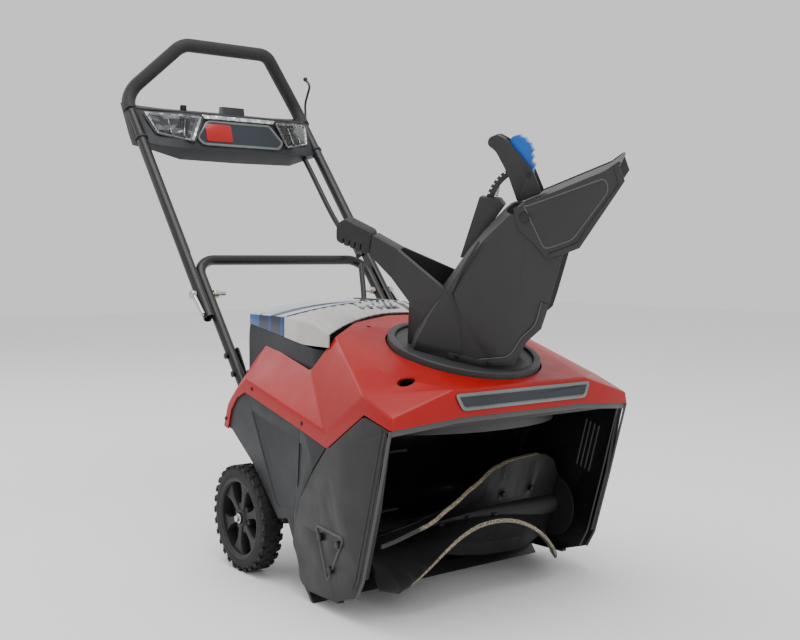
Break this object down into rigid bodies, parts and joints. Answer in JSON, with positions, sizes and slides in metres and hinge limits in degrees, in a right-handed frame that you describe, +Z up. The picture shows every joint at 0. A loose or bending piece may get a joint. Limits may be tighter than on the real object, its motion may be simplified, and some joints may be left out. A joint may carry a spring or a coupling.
{
  "type": "snow blower",
  "caption": "Walk-behind single-stage battery snow blower with rubber-bladed rotor, turning chute with tilting deflector, folding loop handle, lamp console, battery bay and two rear wheels.",
  "frame": {"origin": "on the ground under the middle of the whole machine", "axes": "+X across the machine to the operator's left, +Y rearward from the mouth to the handle, +Z up"},
  "size_m": [0.57, 1.2878, 1.122],
  "materials": {
    "red_cover": "glossy moulded red",
    "black_steel": "satin black powder coat",
    "dark_plastic": "fine-textured charcoal plastic",
    "chute_plastic": "fine-textured dark grey plastic",
    "black_plastic": "black plastic",
    "rubber": "moulded rubber",
    "tyre": "block-tread tyre",
    "bright_steel": "zinc-plated steel",
    "housing_steel": "semi-gloss black paint",
    "blue_plastic": "blue moulded plastic",
    "clear_lens": "clear polycarbonate",
    "blue_window": "blue translucent lid",
    "silver_lid": "silver moulded lid",
    "emblem": "silver-framed plate",
    "scraper": "wear strip",
    "motor_metal": "cast housing",
    "brass": "plated fastener",
    "handle_steel": "black powder-coated tube",
    "grip_foam": "moulded grip cover"
  },
  "bodies": {
    "chassis": {"side_plate_left": "black_steel", "side_plate_right": "black_steel", "auger_housing": "housing_steel", "scraper_bar": "scraper", "inlet_duct": "dark_plastic", "hood": "red_cover", "hood_emblem_plate": "emblem", "side_panel_left": "dark_plastic", "side_panel_right": "dark_plastic", "chute_collar": "dark_plastic", "battery_tub": "dark_plastic", "battery_packs": "black_plastic", "lid_hinge_pins": "bright_steel", "rear_cover": "dark_plastic", "cradle_frame": "black_steel", "drive_motor": "motor_metal", "drive_belt": "rubber", "belt_cover": "dark_plastic", "rotor_bearings": "bright_steel", "wheel_axle": "bright_steel", "lower_handle": "handle_steel", "frame_bolts": "black_steel", "housing_screws": "black_steel", "harness_lower": "black_plastic"},
    "motor_spindle": {"motor_pulley": "bright_steel"},
    "rotor": {"rotor_shaft": "bright_steel", "rotor_frame": "bright_steel", "rotor_blades": "rubber", "blade_bolts": "black_steel", "rotor_pulley": "black_plastic"},
    "wheel_left": {"tyre_left": "tyre", "wheel_hub_left": "black_plastic", "wheel_bush_left": "black_plastic"},
    "wheel_right": {"tyre_right": "tyre", "wheel_hub_right": "black_plastic", "wheel_bush_right": "black_plastic"},
    "chute": {"chute_turntable": "chute_plastic", "chute_body": "chute_plastic", "chute_quadrant": "chute_plastic", "chute_arm": "chute_plastic", "chute_grip": "grip_foam", "chute_bolts": "black_steel", "tilt_pins": "bright_steel"},
    "deflector": {"deflector": "chute_plastic", "deflector_bracket": "chute_plastic", "trigger_pin": "bright_steel"},
    "trigger": {"tilt_trigger": "blue_plastic"},
    "battery_lid": {"battery_lid": "silver_lid", "lid_window": "blue_window"},
    "upper_handle": {"upper_handle": "handle_steel", "loop_grip": "grip_foam", "console": "dark_plastic", "console_badge": "emblem", "headlamp_lenses": "clear_lens", "harness_upper": "black_plastic", "fold_bolts": "bright_steel"},
    "power_button": {"power_button": "black_plastic"},
    "control_lever": {"control_lever": "handle_steel"},
    "cam_lever_left": {"cam_lever_left": "bright_steel"},
    "cam_lever_right": {"cam_lever_right": "bright_steel"}
  },
  "joints": [
    {"name": "rotor_spin", "type": "hinge", "parent": "chassis", "child": "rotor", "pos_m": [0, -0.3113, 0.118], "axis": [1, 0, 0], "continuous": true},
    {"name": "motor_spin", "type": "hinge", "parent": "chassis", "child": "motor_spindle", "pos_m": [0.275, -0.0993, 0.215], "axis": [1, 0, 0], "continuous": true},
    {"name": "wheel_left_spin", "type": "hinge", "parent": "chassis", "child": "wheel_left", "pos_m": [0.26, 0.0007, 0.1016], "axis": [1, 0, 0], "continuous": true},
    {"name": "wheel_right_spin", "type": "hinge", "parent": "chassis", "child": "wheel_right", "pos_m": [-0.26, 0.0007, 0.1016], "axis": [1, 0, 0], "continuous": true},
    {"name": "chute_turn", "type": "hinge", "parent": "chassis", "child": "chute", "pos_m": [0, -0.3343, 0.442], "axis": [0, -0.2706, 0.9627], "range_deg": [-140, 60]},
    {"name": "deflector_tilt", "type": "hinge", "parent": "chute", "child": "deflector", "pos_m": [0.045, -0.45682, 0.67971], "axis": [0.766, 0.6188, 0.1739], "range_deg": [0, 42]},
    {"name": "trigger_squeeze", "type": "hinge", "parent": "deflector", "child": "trigger", "pos_m": [0.036, -0.46273, 0.74038], "axis": [0.766, 0.6188, 0.1739], "range_deg": [-10, 0], "stiffness_Nm_per_rad": 0.6, "springref_deg": 2.86},
    {"name": "lid_open", "type": "hinge", "parent": "chassis", "child": "battery_lid", "pos_m": [0, 0.0737, 0.475], "axis": [-1, 0, 0], "range_deg": [0, 66]},
    {"name": "handle_fold", "type": "hinge", "parent": "chassis", "child": "upper_handle", "pos_m": [0, 0.24198, 0.5213], "axis": [1, 0, 0], "range_deg": [0, 92]},
    {"name": "power_press", "type": "slide", "parent": "upper_handle", "child": "power_button", "axis": [0, 0, -1], "range_m": [0, 0.003], "stiffness_N_per_m": 400},
    {"name": "lever_pull", "type": "hinge", "parent": "upper_handle", "child": "control_lever", "pos_m": [0.256, 0.6247, 0.948], "axis": [1, 0, 0], "range_deg": [0, 22], "stiffness_Nm_per_rad": 1},
    {"name": "cam_left_release", "type": "hinge", "parent": "upper_handle", "child": "cam_lever_left", "pos_m": [0.253, 0.24198, 0.5213], "axis": [1, 0, 0], "range_deg": [0, 150]},
    {"name": "cam_right_release", "type": "hinge", "parent": "upper_handle", "child": "cam_lever_right", "pos_m": [-0.253, 0.24198, 0.5213], "axis": [1, 0, 0], "range_deg": [0, 150]}
  ],
  "couplings": [
    {"joint": "motor_spin", "follows": "rotor_spin", "ratio": 3.1}
  ]
}
